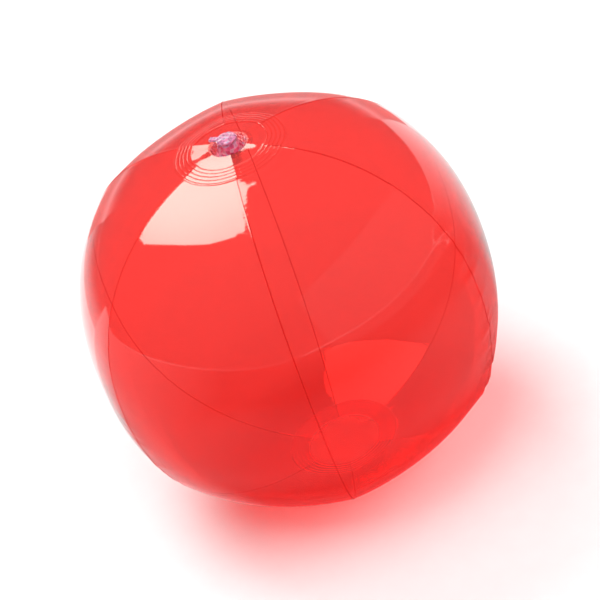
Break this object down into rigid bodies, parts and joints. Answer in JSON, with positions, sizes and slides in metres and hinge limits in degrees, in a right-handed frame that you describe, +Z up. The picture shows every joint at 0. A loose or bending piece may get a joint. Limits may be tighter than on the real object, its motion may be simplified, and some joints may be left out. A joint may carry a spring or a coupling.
{
  "type": "inflatable beach ball",
  "caption": "Inflated beach ball of translucent red film: welded gores, round end discs and a push-in valve with a strapped plug.",
  "frame": {"origin": "centre of the small flat patch of the lower end disc that the ball rests on", "axes": "+Z up along the polar axis, from the lower end disc to the valve; -X from the valve towards the fold of the plug's strap; seams lie at azimuth 0 and every 60 degrees"},
  "size_m": [0.2798, 0.2724, 0.2634],
  "materials": {
    "red_film": "glossy translucent film",
    "clear_vinyl": "soft clear moulding with a faint violet tint"
  },
  "bodies": {
    "ball": {"gore_1": "red_film", "gore_2": "red_film", "gore_3": "red_film", "gore_4": "red_film", "gore_5": "red_film", "gore_6": "red_film", "valve_end_disc": "red_film", "base_end_disc": "red_film", "valve_flange": "clear_vinyl", "valve_skirt": "clear_vinyl"},
    "stem": {"valve_stem": "clear_vinyl"},
    "plug": {"valve_plug": "clear_vinyl", "plug_strap": "clear_vinyl"},
    "flap": {"non_return_flap": "clear_vinyl"}
  },
  "joints": [
    {"name": "valve_pop", "type": "slide", "parent": "ball", "child": "stem", "axis": [0, 0, 1], "range_m": [-0.003, 0.007], "deforming": ["valve_skirt"]},
    {"name": "plug_flip", "type": "hinge", "parent": "stem", "child": "plug", "pos_m": [-0.0114, 0, 0.26124], "axis": [0, -1, 0], "range_deg": [0, 150]},
    {"name": "flap_open", "type": "hinge", "parent": "stem", "child": "flap", "pos_m": [0.0052, 0, 0.24384], "axis": [0, -1, 0], "range_deg": [0, 60], "stiffness_Nm_per_rad": 0.00002}
  ]
}
